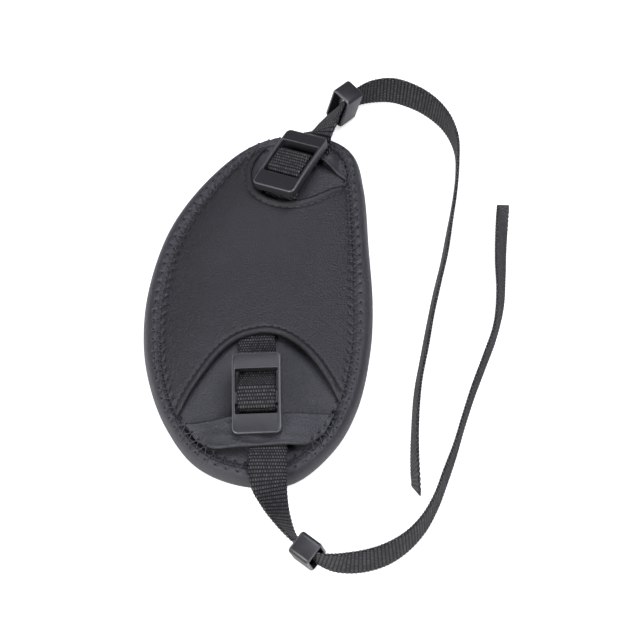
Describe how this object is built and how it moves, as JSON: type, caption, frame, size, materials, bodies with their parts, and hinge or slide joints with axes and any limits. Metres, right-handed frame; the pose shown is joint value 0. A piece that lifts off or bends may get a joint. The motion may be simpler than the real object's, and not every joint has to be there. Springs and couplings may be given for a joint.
{
  "type": "camera hand grip strap",
  "caption": "Padded hand grip with an egg-shaped leather pad, slide buckles on short webbing and long webbing straps with keeper loops.",
  "frame": {"origin": "centre of the pad's outline, on its flat back face", "axes": "+Z out of the pad's front, +Y towards the pad's narrower upper end, +X to the side where the long straps lie"},
  "size_m": [0.1199, 0.1786, 0.0212],
  "materials": {
    "pad_leather": "soft grained, dark blue-grey",
    "panel_leather": "fine grained, near black",
    "band_leather": "soft grained, dark blue-grey",
    "lining_cloth": "matt",
    "foam": "matt",
    "thread": "matt",
    "webbing": "ribbed weave",
    "moulded_plastic": "satin"
  },
  "bodies": {
    "grip": {"base_cover": "pad_leather", "foam_core": "foam", "rear_lining": "lining_cloth", "centre_panel": "panel_leather", "upper_band": "band_leather", "lower_band": "band_leather", "border_thread": "thread", "upper_hem_thread": "thread", "lower_hem_thread": "thread", "upper_web": "webbing", "lower_web": "webbing", "upper_web_tack": "thread", "lower_web_tack": "thread", "upper_strap": "webbing", "lower_strap": "webbing", "upper_buckle": "moulded_plastic", "lower_buckle": "moulded_plastic"},
    "upper_keeper": {"upper_keeper": "moulded_plastic"},
    "lower_keeper": {"lower_keeper": "moulded_plastic"}
  },
  "joints": [
    {"name": "upper_keeper_slide", "type": "slide", "parent": "grip", "child": "upper_keeper", "axis": [0.6891, 0.7051, -0.167], "range_m": [-0.001, 0.0025]},
    {"name": "lower_keeper_slide", "type": "slide", "parent": "grip", "child": "lower_keeper", "axis": [0.7911, -0.6091, -0.056], "range_m": [-0.0015, 0.0008]}
  ]
}
